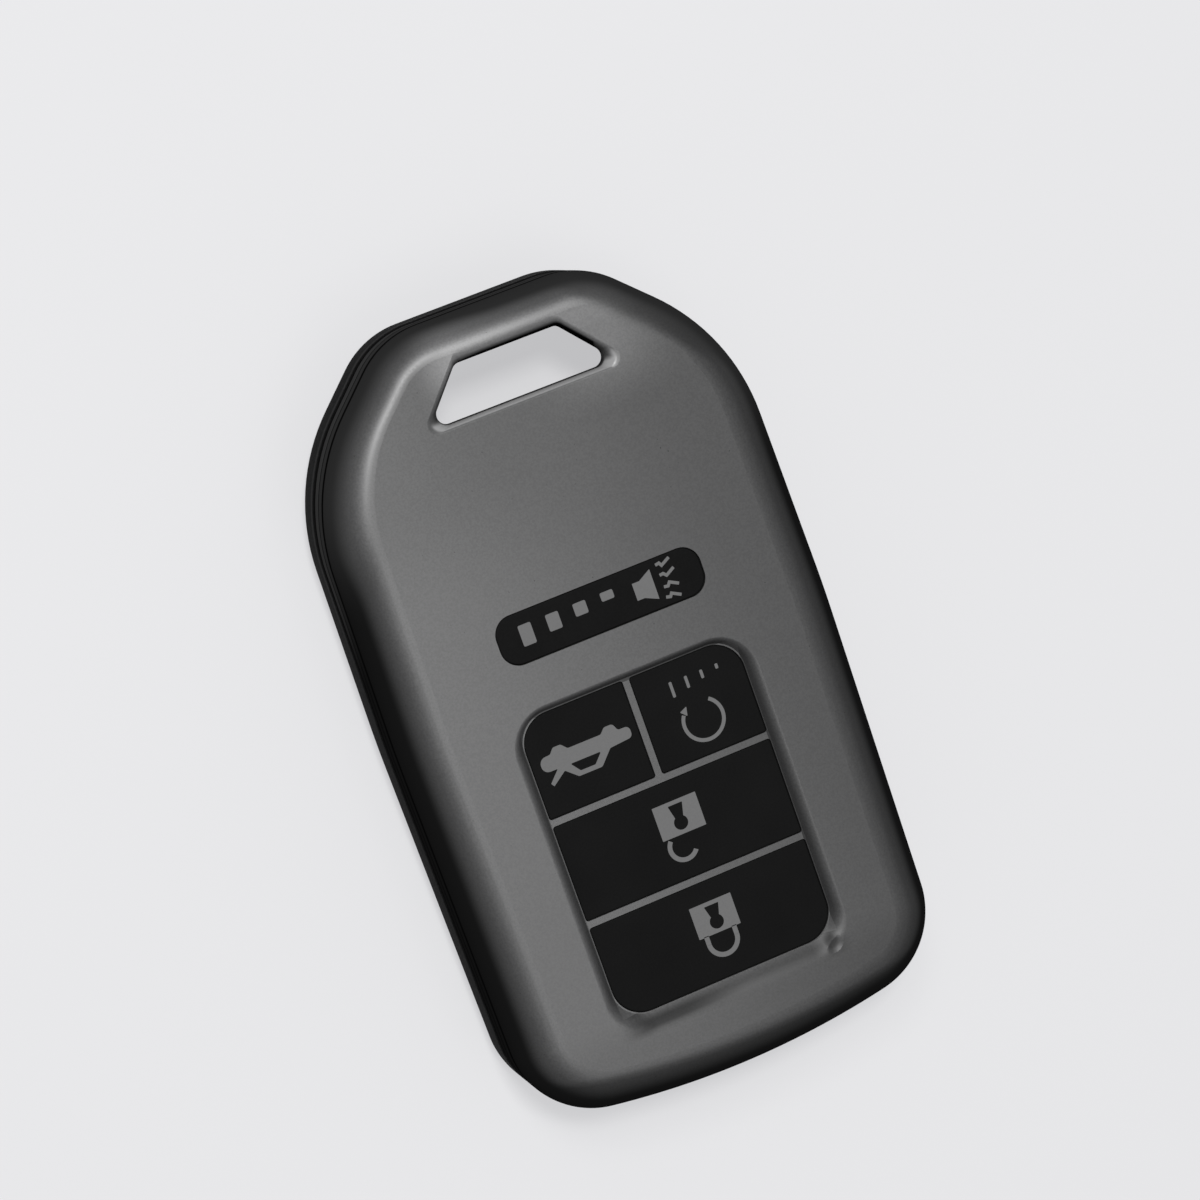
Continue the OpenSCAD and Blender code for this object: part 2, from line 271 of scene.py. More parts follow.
def draw_out(way):
    """Draw a line on from the selected vertex."""
    ops.mesh.extrude_vertices_move(TRANSFORM_OT_translate={"value": way})


def draw_ring(name, corners, inset, height, step):
    """A closed loop of edges: a line drawn from corner to corner, with each corner spun round."""
    count = len(corners)
    arcs = [
        arc(corners[i - 1], corners[i], corners[(i + 1) % count], inset) for i in range(count)
    ]
    lift = Vector((0, 0, height * MM))
    first = arcs[0][0].to_3d() + lift
    ring = start_line(name, first)
    pen = first
    for i, (start, centre, turn) in enumerate(arcs):
        place = start.to_3d() + lift
        if i > 0:
            draw_out(place - pen)
        fine = step / 4 if corners[i][2] > LONG_RADIUS else step
        steps = max(2, math.ceil(math.degrees(abs(turn)) / fine - COUNT_LEEWAY))
        hub = centre.to_3d() + lift
        ops.mesh.spin(steps=steps, angle=turn, center=hub, axis=(0, 0, -1))
        pen = hub + Matrix.Rotation(turn, 3, "Z") @ (place - hub)
    draw_out(first - pen)
    ops.mesh.select_all(action="SELECT")
    ops.mesh.remove_doubles(threshold=SAME_POINT)
    mode("OBJECT")
    return ring


def pick(piece, first, last):
    """Select a run of a piece's vertices by their numbers, and go into edit mode."""
    only(piece)
    mesh = piece.data
    for part in (mesh.polygons, mesh.edges):
        part.foreach_set("select", [False] * len(part))
    count = len(mesh.vertices)
    mesh.vertices.foreach_set("select", [first <= i < last for i in range(count)])
    mode("EDIT")
    ops.mesh.select_mode(type="VERT")


def loft(name, rows, step=SHELL_STEP):
    """A closed skin through rows of (corners, inset, height), bridged ring by ring."""
    piece = None
    for i, (corners, inset, height) in enumerate(rows):
        ring = draw_ring(name, corners, inset, height, step)
        if piece is None:
            piece = ring
            size = len(ring.data.vertices)
            continue
        only(piece)
        ring.select_set(True)
        ops.object.join()
        pick(piece, (i - 1) * size, (i + 1) * size)
        ops.mesh.bridge_edge_loops()
    for end in (0, len(rows) - 1):
        pick(piece, end * size, (end + 1) * size)
        ops.mesh.edge_face_add()
    ops.mesh.select_all(action="SELECT")
    ops.mesh.normals_make_consistent(inside=False)
    mode("OBJECT")
    piece.name = name
    return piece


def plate(name, corners, low, high, step=SHELL_STEP, inset=0.0):
    """A flat piece with the same outline from its lower to its upper face."""
    return loft(name, [(corners, inset, low), (corners, inset, high)], step)


def combine(piece, other, how):
    """Cut other out of a piece, or weld it on, and drop it."""
    only(piece)
    ops.object.modifier_add(type="BOOLEAN")
    step = piece.modifiers[-1]
    step.operation = how
    step.solver = "MANIFOLD"
    step.object = other
    ops.object.modifier_apply(modifier=step.name)
    bpy.data.objects.remove(other)


def cut(piece, other):
    combine(piece, other, "DIFFERENCE")


def weld(piece, other):
    combine(piece, other, "UNION")


def polish(piece):
    """Smooth shading, where the large flat faces keep their own normals."""
    only(piece)
    mode("EDIT")
    ops.mesh.select_all(action="SELECT")
    ops.mesh.remove_doubles(threshold=MERGE * MM)
    ops.mesh.dissolve_degenerate(threshold=MERGE * MM)
    mode("OBJECT")
    ops.object.shade_smooth_by_angle(angle=SMOOTH_ANGLE)
    for face in piece.data.polygons:
        if abs(face.normal.z) > FLAT:
            face.use_smooth = False
    ops.object.modifier_add(type="WEIGHTED_NORMAL")
    step = piece.modifiers[-1]
    step.keep_sharp = True
    step.weight = 50
    ops.object.modifier_apply(modifier=step.name)
    return piece


def quarter(rows):
    """Points of a quarter round, as shares of its width and height."""
    turn = [math.pi / 2 * k / rows for k in range(rows + 1)]
    return [(1 - math.cos(t), math.sin(t)) for t in turn]


def round_post(name, centre, radius, low, high, sides):
    """An upright round post."""
    mode("OBJECT")
    ops.object.select_all(action="DESELECT")
    ops.mesh.primitive_cylinder_add(
        vertices=sides,
        radius=radius * MM,
        depth=(high - low) * MM,
        location=(centre[0] * MM, centre[1] * MM, (low + high) / 2 * MM),
    )
    post = bpy.context.object
    post.name = name
    ops.object.transform_apply(location=True, rotation=True, scale=True)
    return post


# Front shell
def dimple():
    ops.object.select_all(action="DESELECT")
    ops.mesh.primitive_uv_sphere_add(
        segments=24,
        ring_count=16,
        radius=DIMPLE_RADIUS * MM,
        location=(DIMPLE_X * MM, DIMPLE_Y * MM, DIMPLE_Z * MM),
    )
    return bpy.context.object


def make_front_shell():
    rows = [
        (BODY, CHAMFER, FRONT_RIM),
        (BODY, SOFT_IN, FRONT_RIM + SOFT_UP),
        (BODY, MARGIN, FRONT_RIM + CHAMFER),
    ]
    for w, h in quarter(SHOULDER_ROWS):
        outline = body_outline((SHOULDER_WIDTH - SHOULDER_TOP) * w)
        rows.append((outline, MARGIN + SHOULDER_WIDTH * w, BODY_HEIGHT - SHOULDER_HEIGHT * (1 - h)))
    shell = loft("front_cover", rows)
    inside = [(BODY, WALL, FRONT_RIM - OVERRUN)]
    inside += [
        (BODY, WALL + INNER_RADIUS * w, CEILING - INNER_RADIUS * (1 - h))
        for w, h in quarter(INNER_ROWS)
    ]
    cut(shell, loft("inside", inside))
    lip = [(slot_outline(), 0, CEILING - OVERRUN)]
    for w, h in quarter(LIP_ROWS):
        outline = slot_outline(LIP_SIDE * w, LIP_TOP * w, LIP_BOTTOM * w)
        lip.append((outline, 0, BODY_HEIGHT - LIP_DEPTH * (1 - h)))
    lip.append((slot_outline(LIP_SIDE, LIP_TOP, LIP_BOTTOM), 0, BODY_HEIGHT + OVERRUN))
    cut(shell, loft("slot", lip, SLOT_STEP))
    slope = []
    for k in range(SLOPE_ROWS + 1):
        out = k / SLOPE_ROWS
        rise = RECESS_DEPTH * math.sin(math.pi / 2 * out)
        slope.append((recess_outline(out), 0, PANEL_FLOOR + rise))
    slope.append((recess_outline(1), 0, BODY_HEIGHT + OVERRUN))
    cut(shell, loft("sunk_panel", slope, KEY_STEP))
    for name, corners in WINDOWS.items():
        low, high = CEILING - OVERRUN, BODY_HEIGHT + OVERRUN
        cut(shell, plate(name + "_window", corners, low, high, KEY_STEP))
    cut(shell, dimple())
    return polish(shell)


# Rear shell
def make_rear_shell():
    rows = [
        (BODY, BACK_RADIUS * w, BACK_RADIUS * (1 - h)) for w, h in reversed(quarter(BACK_ROWS))
    ]
    rows[-1] = (BODY, MARGIN, rows[-1][2])
    rows += [
        (BODY, MARGIN, SEAM - CHAMFER),
        (BODY, SOFT_IN, SEAM - SOFT_UP),
        (BODY, CHAMFER, SEAM),
    ]
    shell = loft("rear_cover", rows)
    inside = [
        (BODY, WALL + INNER_RADIUS * w, FLOOR + INNER_RADIUS * (1 - h))
        for w, h in reversed(quarter(INNER_ROWS))
    ]
    cut(shell, loft("inside", inside + [(BODY, WALL, SEAM + OVERRUN)]))
    outline = slot_outline(REAR_SLOT_SIDE, REAR_SLOT_TOP, REAR_SLOT_BOTTOM)
    cut(shell, plate("rear_slot", outline, -OVERRUN, FLOOR + OVERRUN, SLOT_STEP))
    return polish(shell)


# Soft frame between the shells
def make_soft_frame():
    outside, low, high = WALL + FRAME_GAP, SEAM - FRAME_DEPTH, BAND_TOP + FRAME_DEPTH
    wall = [
        (outside + CHAMFER, low),
        (outside, low + CHAMFER),
        (outside, high - CHAMFER),
        (outside + CHAMFER, high),
    ]
    out, soft = BAND_SET_BACK, BAND_SET_BACK + BAND_SOFT_IN
    band = [
        (out + CHAMFER, SEAM),
        (soft, SEAM + SOFT_UP),
        (out, SEAM + CHAMFER),
        (out, BAND_TOP - CHAMFER),
        (soft, BAND_TOP - SOFT_UP),
        (out + CHAMFER, BAND_TOP),
    ]
    frame_piece = loft("soft_frame", [(BODY, inset, z) for inset, z in wall])
    weld(frame_piece, loft("band", [(BODY, inset, z) for inset, z in band]))
    foot, top = low - OVERRUN, high + OVERRUN
    hollow = plate("inside", BODY, foot, top, SHELL_STEP, outside + FRAME_WALL)
    cut(frame_piece, hollow)
    return polish(frame_piece)


def grown(corners, left, right, bottom, top):
    """A rectangle's corners, let out on each side."""
    move = [(-left, -bottom), (right, -bottom), (right, top), (-left, top)]
    return [(x + dx, y + dy, r) for (x, y, r), (dx, dy) in zip(corners, move)]


def middle(corners):
    """The place of a rectangle's centre."""
    return (corners[0][0] + corners[1][0]) / 2, (corners[0][1] + corners[2][1]) / 2


def make_key(name, face):
    corners = WINDOWS[name]
    foot = [(corners, KEY_CLEARANCE, FLANGE_BOTTOM + WELD)]
    edge = [
        (corners, KEY_CLEARANCE + KEY_EDGE * w, face - KEY_EDGE * (1 - h))
        for w, h in quarter(EDGE_ROWS)
    ]
    cap = loft(name + "_button", foot + edge, KEY_STEP)
    flange = grown(corners, *FLANGES[name])
    weld(cap, plate("flange", flange, FLANGE_BOTTOM, FLANGE_TOP, KEY_STEP))
    top = FLANGE_TOP - 2 * WELD
    weld(cap, round_post("nib", middle(corners), NIB_RADIUS, NIB_BOTTOM, top, NIB_SIDES))
    return polish(cap)


def make_mat():
    mat_x, low, high = PANEL_X + WIDE, PANEL_BOTTOM - WIDE, STRIP_TOP + WIDE
    outline = box(-mat_x, mat_x, low, high, MAT_RADIUS)
    sheet = plate("key_mat", outline, WEB_BOTTOM, CEILING - MAT_DROP, KEY_STEP, -MAT_RIM)
    panel_pocket = box(-mat_x, mat_x, low, PANEL_TOP + WIDE, PANEL_RADIUS)
    strip_pocket = grown(WINDOWS["panic"], *FLANGES["panic"])
    for pocket in (panel_pocket, strip_pocket):
        cut(sheet, plate("pocket", pocket, WEB_TOP, CEILING + OVERRUN, KEY_STEP, -MAT_GAP))
    radius, low, high = NIB_RADIUS + HOLE_GAP, WEB_BOTTOM - OVERRUN, WEB_TOP + OVERRUN
    for corners in WINDOWS.values():
        cut(sheet, round_post("hole", middle(corners), radius, low, high, NIB_SIDES))
    return polish(sheet)


# Marks on the keys, which stand proud of them by the ink's thickness
INK = 0.02
SUNK = 0.01
TIP_RISE = 0.002
PANEL_INK = (PANEL_FLOOR - SUNK, PANEL_FLOOR + INK)
STRIP_INK = (STRIP_FACE - SUNK, STRIP_FACE + INK)
STROKE_ROUND_SHARE = 0.12
KEYHOLE_RADIUS = 0.7
# Half the keyhole notch's width at each end, its start above the hole and its end below the top
NOTCH_NARROW, NOTCH_WIDE = 0.4, 0.75
NOTCH_START, NOTCH_MARGIN = 0.45, 0.4


def stroke(points, width):
    """Corners of a bar of even width along a line of points."""
    left, right = [], []
    for i, (x, y) in enumerate(points):
        here = Vector((x, y))
        into = here - Vector(points[i - 1]) if i else Vector(points[1]) - here
        out = Vector(points[i + 1]) - here if i < len(points) - 1 else into
        into, out = into.normalized(), out.normalized()
        side = (into + out).normalized()
        side = Vector((-side.y, side.x)) * (width / 2 / max(0.5, (into + out).length / 2))
        left.append((here + side).to_tuple())
        right.append((here - side).to_tuple())
    return [(x, y, width * STROKE_ROUND_SHARE) for x, y in right + left[::-1]]


def ring_bar(name, centre, radius, width, start, turn):
    """A bar bent round a centre: a short line spun round it and raised."""
    low, high = PANEL_INK
    way = Vector((math.cos(math.radians(start)), math.sin(math.radians(start)), 0))
    hub = Vector((centre[0], centre[1], low)) * MM
    bar = start_line(name, hub + way * (radius - width / 2) * MM)
    draw_out(way * width * MM)
    ops.mesh.select_all(action="SELECT")
    steps = max(3, math.ceil(abs(turn) / RING_STEP))
    ops.mesh.spin(steps=steps, angle=math.radians(turn), center=hub, axis=(0, 0, -1))
    ops.mesh.select_all(action="SELECT")
    ops.mesh.remove_doubles(threshold=SAME_POINT)
    ops.mesh.extrude_region_move(TRANSFORM_OT_translate={"value": (0, 0, (high - low) * MM)})
    ops.mesh.select_all(action="SELECT")
    ops.mesh.normals_make_consistent(inside=False)
    mode("OBJECT")
    return bar


def sign(name, corners, ink=PANEL_INK, step=MARK_STEP):
    """A thin raised shape on a key."""
    return plate(name, corners, *ink, step)


def pierce(piece, name, corners):
    """Cut a shape right through a sign."""
    low, high = PANEL_INK
    cut(piece, plate(name, corners, low - OVERRUN, high + OVERRUN, MARK_STEP))


def padlock(name, left, right, low, high, hole):
    """A padlock's body with its keyhole: a round hole and a notch that widens upwards."""
    body = sign(name, box(left, right, low, high, 0.05))
    x, start, end = hole[0], hole[1] + NOTCH_START, high - NOTCH_MARGIN
    notch = [
        (x - NOTCH_NARROW, start, 0.04),
        (x + NOTCH_NARROW, start, 0.04),
        (x + NOTCH_WIDE, end, 0.06),
        (x - NOTCH_WIDE, end, 0.06),
    ]
    pierce(body, "notch", notch)
    foot, top = PANEL_INK[0] - OVERRUN, PANEL_INK[1] + OVERRUN
    cut(body, round_post("keyhole", hole, KEYHOLE_RADIUS, foot, top, KEYHOLE_SIDES))
    return body


def car_sign():
    """A car with an open boot lid, upside down when the keyring end is at the top."""
    car = [
        (-10.38, -4.375, 0.7), (-8.95, -4.375, 0.05), (-10.03, -5.475, 0.05), (-9.81, -5.81, 0.05),
        (-8.375, -4.8, 0.12), (-7.25, -5.81, 0.3), (-4.85, -5.81, 0.35), (-3.55, -4.44, 0.3),
        (-1.16, -4.25, 0.45), (-1.16, -3.125, 0.45), (-2.3, -3.1, 0.3), (-2.62, -2.37, 0.4),
        (-3.5, -2.37, 0.4), (-4.0, -2.9, 0.3), (-7.4, -2.9, 0.3), (-7.95, -2.31, 0.35),
        (-8.75, -2.31, 0.35), (-9.2, -2.85, 0.3), (-10.38, -2.9, 0.7),
    ]
    body = sign("trunk_mark", car)
    window = [(-6.92, -5.35, 0.15), (-5.4, -5.35, 0.15), (-4.5, -4.4, 0.08), (-7.65, -4.4, 0.08)]
    pierce(body, "car_window", window)
    return [body]


def turning_arrow():
    """An open ring with a tip, and a plain gauge of four bars above it."""
    ring = ring_bar("start_mark", (5.875, -5.275), 2.0, 0.37, 149, 268)
    head = [(4.69, -3.5, 0.05), (3.91, -3.85, 0.05), (4.5, -4.42, 0.05)]
    low, high = PANEL_INK
    tip = sign("start_tip", head, (low, high + TIP_RISE))
    signs = [ring, tip]
    for k, (x, tall) in enumerate([(8.6, 0.5), (7.0, 0.85), (5.4, 1.2), (3.8, 1.55)]):
        bar = box(x, x + 0.3, -0.75 - tall, -0.75, 0.1)
        signs.append(sign("start_gauge_%d" % k, bar, PANEL_INK, BAR_STEP))
    return signs


def open_padlock():
    lock = padlock("unlock_mark", -1.8, 2.72, -14.78, -11.41, (0.47, -13.68))
    return [lock, ring_bar("unlock_bow", (-0.1, -15.87), 1.32, 0.46, 140, 186)]


def closed_padlock():
    lock = padlock("lock_mark", -1.67, 2.67, -24.98, -21.8, (0.52, -23.92))
    signs = [lock, ring_bar("lock_bow", (0.5, -25.78), 1.45, 0.48, 180, 180)]
    for k, x in enumerate((-0.95, 1.95)):
        leg = box(x - 0.24, x + 0.24, -25.8, -24.9, 0.02)
        signs.append(sign("lock_leg_%d" % k, leg, PANEL_INK, BAR_STEP))
    return signs


def horn_signs():
    """A horn with four zigzag waves, and a plain gauge of four blocks beside it."""
    cone = [
        (3.5, 7.72, 0.04), (4.25, 7.72, 0.1), (5.55, 7.13, 0.04), (5.55, 10.13, 0.04),
        (4.25, 9.42, 0.1), (3.5, 9.42, 0.04),
    ]
    signs = [sign("horn_mark", cone, STRIP_INK)]
    waves = [
        [(6.22, 10.25), (6.62, 10.32), (6.8, 10.02), (7.7, 10.5)],
        [(6.3, 9.2), (6.68, 9.25), (6.95, 8.97), (7.83, 9.45)],
        [(6.33, 8.03), (6.75, 7.97), (6.98, 8.28), (7.83, 7.83)],
        [(6.2, 7.05), (6.63, 6.94), (6.82, 7.22), (7.7, 6.75)],
    ]
    for k, points in enumerate(waves):
        signs.append(sign("horn_wave_%d" % k, stroke(points, 0.3), STRIP_INK, BAR_STEP))
    for k, (x, tall) in enumerate([(0.9, 0.85), (-1.9, 1.25), (-4.7, 1.65), (-7.5, 2.05)]):
        bar = box(x - 0.65, x + 0.65, 9.72 - tall, 9.72, 0.15)
        signs.append(sign("hold_bar_%d" % k, bar, STRIP_INK, BAR_STEP))
    return signs


# Pieces
def ramp(value, low, high):
    """0 at low and 1 at high, with a smooth run between them."""
    share = max(0.0, min(1.0, (value - low) / (high - low)))
    return share * share * (3 - 2 * share)


def keep_share(piece, name, rule):
    """Keep a share from 0 to 1 at each vertex, from its place and the way it faces."""
    only(piece)
    ops.geometry.attribute_add(name=name, domain="POINT", data_type="FLOAT")
    shares = [rule(vertex.co, vertex.normal) for vertex in piece.data.vertices]
    piece.data.attributes[name].data.foreach_set("value", shares)


def inner_side(place, way):
    """The cavity's walls, its ceiling and its floor, but not the outside of the back."""
    facing_in = ramp(place.dot(way), 3 * MM, 2 * MM)
    above_back = 1 if place.z > 5 * MM else 0
    return facing_in * ramp(way.z + above_back, -0.6, -0.3)


def far_side(place, way):
    """The walls at the right and at the lower end, and the underside."""
    away = 0.74 * way.x - 0.67 * way.y
    return max(ramp(away, 0.0, 0.5), ramp(-way.z, 0.05, 0.6))


front_cover = make_front_shell()
rear_cover = make_rear_shell()
soft_frame = make_soft_frame()
for cover in (front_cover, rear_cover, soft_frame):
    keep_share(cover, "inner_side", inner_side)
    keep_share(cover, "far_side", far_side)
key_mat = make_mat()
buttons = {
    name: make_key(name, STRIP_FACE if name == "panic" else PANEL_FLOOR) for name in WINDOWS
}
signs = {
    "trunk": car_sign(),
    "start": turning_arrow(),
    "unlock": open_padlock(),
    "lock": closed_padlock(),
    "panic": horn_signs(),
}


# Finishes
class Val:
    """A shader socket that adds Math nodes when it is used in a sum."""

    def __init__(self, finish, socket):
        self.finish, self.socket = finish, socket

    def math(self, kind, a, b):
        return self.finish.node("ShaderNodeMath", {"operation": kind}, {0: a, 1: b})

    def __add__(self, other):
        return self.math("ADD", self, other)

    __radd__ = __add__

    def __sub__(self, other):
        return self.math("SUBTRACT", self, other)

    def __rsub__(self, other):
        return self.math("SUBTRACT", other, self)

    def __mul__(self, other):
        return self.math("MULTIPLY", self, other)

    __rmul__ = __mul__

    def over(self, other):
        """The larger of two values."""
        return self.math("MAXIMUM", self, other)


def grey(level):
    return (level, level, level, 1.0)


class Finish:
    """A procedural material on the piece's own coordinates."""

    def __init__(self, name, **surface):
        self.material = bpy.data.materials.new(name)
        self.material.use_nodes = True
        self.tree = self.material.node_tree
        self.shader = self.tree.nodes["Principled BSDF"]
        self.set(**surface)
        self.place = self.node("ShaderNodeTexCoord", out="Object")

    def put(self, socket, value):
        if isinstance(value, Val):
            self.tree.links.new(value.socket, socket)
        else:
            socket.default_value = value

    def set(self, **sockets):
        for name, value in sockets.items():
            self.put(self.shader.inputs[name.replace("_", " ")], value)

    def node(self, kind, settings=None, inputs=None, out=0):
        """Add one node: its settings first, then its sockets' values or links."""
        made = self.tree.nodes.new(kind)
        for key, value in (settings or {}).items():
            setattr(made, key, value)
        for key, value in (inputs or {}).items():
            self.put(made.inputs[key], value)
        return Val(self, made.outputs[out])

    def axis(self, name):
        """The place along one axis, in millimetres."""
        return self.node("ShaderNodeSeparateXYZ", None, {0: self.place}, name) * (1 / MM)

    def attribute(self, name):
        return self.node("ShaderNodeAttribute", {"attribute_name": name}, out="Fac")

    def noise(self, scale, detail=2.0):
        """Even noise from 0 to 1 with about that many bumps to the metre."""
        return self.node(
            "ShaderNodeTexNoise",
            {"noise_dimensions": "3D"},
            {"Vector": self.place, "Scale": scale, "Detail": detail, "Roughness": 0.55},
            "Fac",
        )

    def fade(self, value, low, high, to_low=0.0, to_high=1.0, kind="SMOOTHSTEP"):
        """A value that runs from one level at low to another at high."""
        return self.node(
            "ShaderNodeMapRange",
            {"interpolation_type": kind},
            {"Value": value, "From Min": low, "From Max": high, "To Min": to_low, "To Max": to_high},
        )

    def between(self, value, low, full, full_end, high):
        """1 from full to full_end, and 0 at low and at high."""
        return self.fade(value, low, full) * self.fade(value, high, full_end)

    def mix(self, share, a, b):
        """Colour a where the share is 0 and colour b where it is 1."""
        share_in, a_in, b_in, colour_out = 0, 6, 7, 2
        sockets = {share_in: share, a_in: a, b_in: b}
        return self.node("ShaderNodeMix", {"data_type": "RGBA"}, sockets, colour_out)

    def scale(self, colour, level):
        """A colour made lighter or darker."""
        sockets = {0: colour, "Scale": level}
        return self.node("ShaderNodeVectorMath", {"operation": "SCALE"}, sockets)

    def bump(self, height, strength, distance):
        sockets = {"Height": height, "Strength": strength, "Distance": distance}
        return self.node("ShaderNodeBump", None, sockets)

    def on(self, *pieces):
        for piece in pieces:
            piece.data.materials.clear()
            piece.data.materials.append(self.material)


class CoverPaint(Finish):
    """The front shell's grey paint, with painted light and shade that follow the shell's features.
    """

    def __init__(self):
        super().__init__(
            "satin_metallic_paint", IOR=1.5, Specular_IOR_Level=0.0, Coat_Roughness=0.4
        )
        self.across, self.along, self.height = (self.axis(name) for name in "XYZ")
        self.upper_left = self.along - self.across
        self.grain = self.noise(5200)
        self.cloud = self.noise(90)
        self.lip = self.slot_lip()
        # The slot lip's lower side and right end get a painted highlight
        self.painted_lip_highlight = self.slot_painted_highlight()
        self.inside = self.attribute("inner_side") * self.fade(self.height, CEILING + 0.1, CEILING)

    def slot_lip(self):
        """The slot's rolled lip, from its straight wall up to the flat face."""
        slant = self.along * SLOT_RUN
        reach = SLOT_LOW * SLOT_RUN + SLOT_WIDE / 2 + 2.24
        lip = self.fade(self.height, CEILING, 16.0) * self.fade(self.height, 16.99, 16.9)
        for side in (slant + self.across, slant - self.across):
            lip = lip * self.fade(side, reach, reach - 0.6)
        return lip * self.between(self.along, 27.5, 28.5, 35.3, 35.7)

    def slot_painted_highlight(self):
        """The lip's lower side and its right end, which get a painted highlight."""
        low_side = self.fade(self.along, 30.4, 29.7) * self.fade(self.height, 16.0, 16.4)
        right_end = self.fade(self.across, 8.6, 9.4) * self.fade(self.height, 16.3, 16.7)
        return self.lip * low_side.over(right_end)

    def shoulder(self):
        """0 on the dark wall, rising over the shoulder to 1 on the face: painted shade down the
        shoulder.
        """
        # The painted shade is lighter at the upper left, and darker at the right, the lower end and
        # the slot's upper lip
        start = self.fade(self.upper_left, 37, 44, 14.9, 14.0)
        start = start + self.fade(self.across, 0, 20) * 0.5
        start = start + self.fade(self.along, -30, -36) * 0.6
        start = start + self.lip * self.fade(self.along, 31, 32) * 1.6
        rise = self.fade(self.height, start, BODY_HEIGHT - 0.15, kind="LINEAR")
        return rise * rise

    def panel_floor(self):
        """The sunk panel's floor with the bars between its keys, and its lower slope's foot."""
        floor = self.between(self.across, -11.5, -11.3, 11.2, 11.3)
        floor = floor * self.between(self.along, -29.2, -29.1, 0.9, 1.0)
        foot = self.between(self.across, -11.5, -8.5, 9.5, 12)
        foot = foot * self.between(self.along, -33, -32, -29.2, -28.9)
        return floor.over(foot)

    def painted_scoop_shade(self):
        """Painted shade in the soft hollow under the lock key, darkest at the left."""
        hollow = self.between(self.along, -31.7, -30.7, -30.3, -29.2)
        hollow = hollow * self.between(self.across, -12.5, -8.5, 10, 12.5)
        return hollow * self.fade(self.across, -6, 2, 0.75, 0.42)

    def dimple_shade(self):
        x, y = self.across - DIMPLE_X, self.along - DIMPLE_Y + 0.1
        return self.fade(x * x + y * y, 1.1, 0.05, 0.0, 0.6)

    def outer_shade(self):
        """Where the shoulder darkens at once: at the lower end and at the upper right slant."""
        bow = self.across * self.across * (0.5 / BOTTOM_BOW)
        lower = self.along + self.across * 0.03 - bow
        slant = self.along * 0.725 + self.across * 0.69
        return self.fade(lower, -34.9, -36.0, 1.0, 0.33) * self.fade(slant, 31.1, 32.5, 1.0, 0.5)

    def light(self):
        """Painted light and shade on the face, from left to right and in its lit and shaded parts.
        """
        # Painted light: lighter at the left, darker at the right
        light = self.fade(self.across + self.along * 0.15, -20, 21, 1.34, 0.82)
        # Painted shade at the upper left and at the lower end
        light = light - self.fade(self.along, 12, 26) * self.fade(self.across, 5, -10) * 0.15
        light = light - self.fade(self.along, -28, -33) * 0.17
        # Painted highlights above the slot and beside it
        painted_crown_highlight = self.fade(self.along, 30, 34.5) * self.fade(self.across, -10, -5)
        painted_crown_highlight = painted_crown_highlight * self.fade(self.across, -3, 5, 1.2, 0.75)
        painted_highlight_beside_slot = self.fade(self.along, 25, 32) * self.fade(self.across, 0, 8) * 0.62
        light = light + painted_crown_highlight.over(painted_highlight_beside_slot) * self.fade(self.across, 17, 9)
        # A painted highlight along the upper left shoulder
        painted_ridge_highlight = self.between(self.height, 15.4, 16.3, 16.88, 16.98)
        light = light + painted_ridge_highlight * self.fade(self.upper_left, 38, 46) * (1 - self.lip) * 0.4
        # Painted shade along the top of the left shoulder, except near the keyring end
        painted_crease_shade = self.between(self.height, 16.4, 16.75, 16.9, 16.95)
        painted_crease_shade = painted_crease_shade * self.fade(self.across, -9, -12)
        return light - painted_crease_shade * self.between(self.along, -34, -30, 18, 26) * 0.14

    def face_colour(self):
        grey_paint = self.mix(self.fade(self.grain, 0.3, 0.7), grey(0.106), grey(0.126))
        grey_paint = self.mix(self.cloud * 0.25, grey_paint, grey(0.097))
        clear_of_specks = self.fade(self.noise(3400, 1.0), 0.17, 0.24)
        grey_paint = self.mix(clear_of_specks, grey(0.065), grey_paint)
        # The grey takes the painted light and shade, and the lip's edges a painted highlight
        return self.mix(self.painted_lip_highlight, self.scale(grey_paint, self.light()), grey(0.3))

    def wall_colour(self):
        """Near black with painted light towards the keyring end, a dark line above a rim with the
        same painted light, and painted shade on the slot's lip.
        """
        # Painted light: lighter towards the keyring end
        wall = self.mix(self.fade(self.along, 14, 27), grey(0.0085), grey(0.024))
        wall = self.mix(self.fade(self.height, 12.2, 12.5), grey(0.002), wall)
        rim = self.mix(self.fade(self.along, 9, 23), grey(0.009), grey(0.03))
        wall = self.mix(self.between(self.height, 10.2, 10.5, 11.5, 11.8), wall, rim)
        # Painted shade: the slot's lip is near black
        wall = self.mix(self.lip, wall, grey(0.002))
        return self.mix(self.inside, wall, self.mix(self.cloud, grey(0.03), grey(0.04)))

    def finished(self):
        # The face's share takes the shoulder's painted shade and the lip's painted highlight
        face = self.shoulder().over(self.panel_floor()).over(self.painted_lip_highlight)
        # Painted shade under the lock key, in the dimple and where the shoulder darkens at once
        face = face - face * self.painted_scoop_shade().over(self.dimple_shade())
        face = face * self.outer_shade()
        far = self.attribute("far_side") * self.fade(self.height, 14, 12)
        self.set(
            Base_Color=self.mix(face, self.wall_colour(), self.face_colour()),
            Metallic=self.fade(face - self.painted_lip_highlight, 0.0, 0.6, 0.0, 0.7, "LINEAR"),
            Roughness=self.fade(self.grain, 0.3, 0.7, 0.44, 0.51),
            Coat_Weight=self.inside.over(far) * 0.35,
            Normal=self.bump(self.grain, 0.12, 0.02 * MM),
        )
        return self


